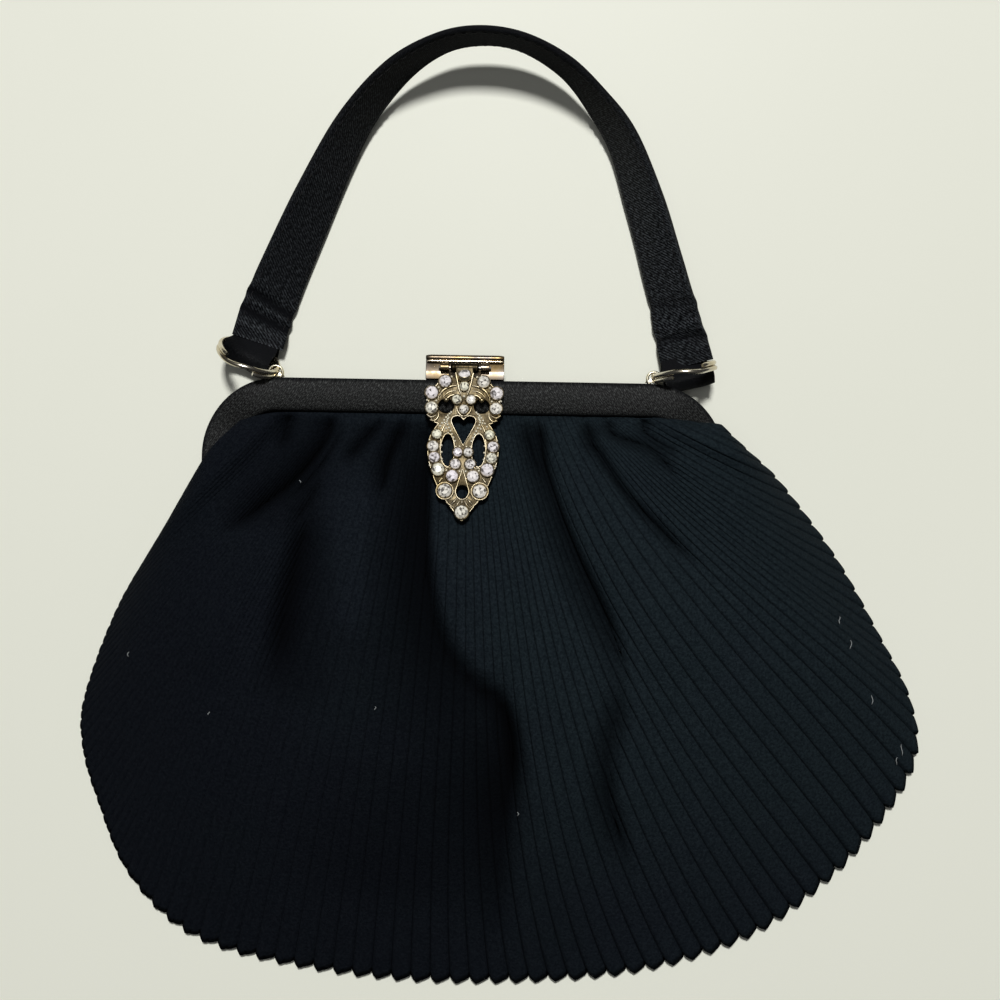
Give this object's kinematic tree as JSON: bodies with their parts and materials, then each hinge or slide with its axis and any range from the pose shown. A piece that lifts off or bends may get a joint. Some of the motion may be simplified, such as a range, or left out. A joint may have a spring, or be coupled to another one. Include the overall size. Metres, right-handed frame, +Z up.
{
  "type": "evening bag",
  "caption": "Pleated cloth evening bag lying on its back, with a satin-covered frame, a pierced stone-set clasp lever and a short satin strap on two split rings.",
  "frame": {"origin": "on the table that the bag lies on, under the middle of its bounding box", "axes": "+X along the frame to the right, +Y from the pouch towards the strap, +Z up from the table, out of the front of the bag"},
  "size_m": [0.2554, 0.2848, 0.0277],
  "materials": {
    "cloth": "pleated crepe",
    "satin": "satin",
    "plated_metal": "worn silver and gold plate",
    "steel": "plain",
    "stone": "clear cut paste on foil"
  },
  "bodies": {
    "bag": {"pouch": "cloth", "frame_front": "satin", "frame_back": "satin", "hinge_pin_left": "steel", "hinge_pin_right": "steel", "strap_lug_left": "plated_metal", "strap_lug_right": "plated_metal", "ring_left": "plated_metal", "ring_right": "plated_metal", "strap": "satin", "clasp_plate": "plated_metal", "clasp_pin": "steel"},
    "lever": {"clasp_ornament": "plated_metal", "stone_01": "stone", "stone_02": "stone", "stone_03": "stone", "stone_04": "stone", "stone_05": "stone", "stone_06": "stone", "stone_07": "stone", "stone_08": "stone", "stone_09": "stone", "stone_10": "stone", "stone_11": "stone", "stone_12": "stone", "stone_13": "stone", "stone_14": "stone", "stone_15": "stone", "stone_16": "stone", "stone_17": "stone", "stone_18": "stone", "stone_19": "stone", "stone_20": "stone", "stone_21": "stone", "stone_22": "stone", "stone_23": "stone", "stone_24": "stone", "stone_25": "stone", "stone_26": "stone", "stone_27": "stone", "stone_28": "stone"}
  },
  "joints": [
    {"name": "clasp_lift", "type": "hinge", "parent": "bag", "child": "lever", "pos_m": [-0.01188, 0.04354, 0.0134], "axis": [-1, 0, 0], "range_deg": [0, 80]}
  ]
}
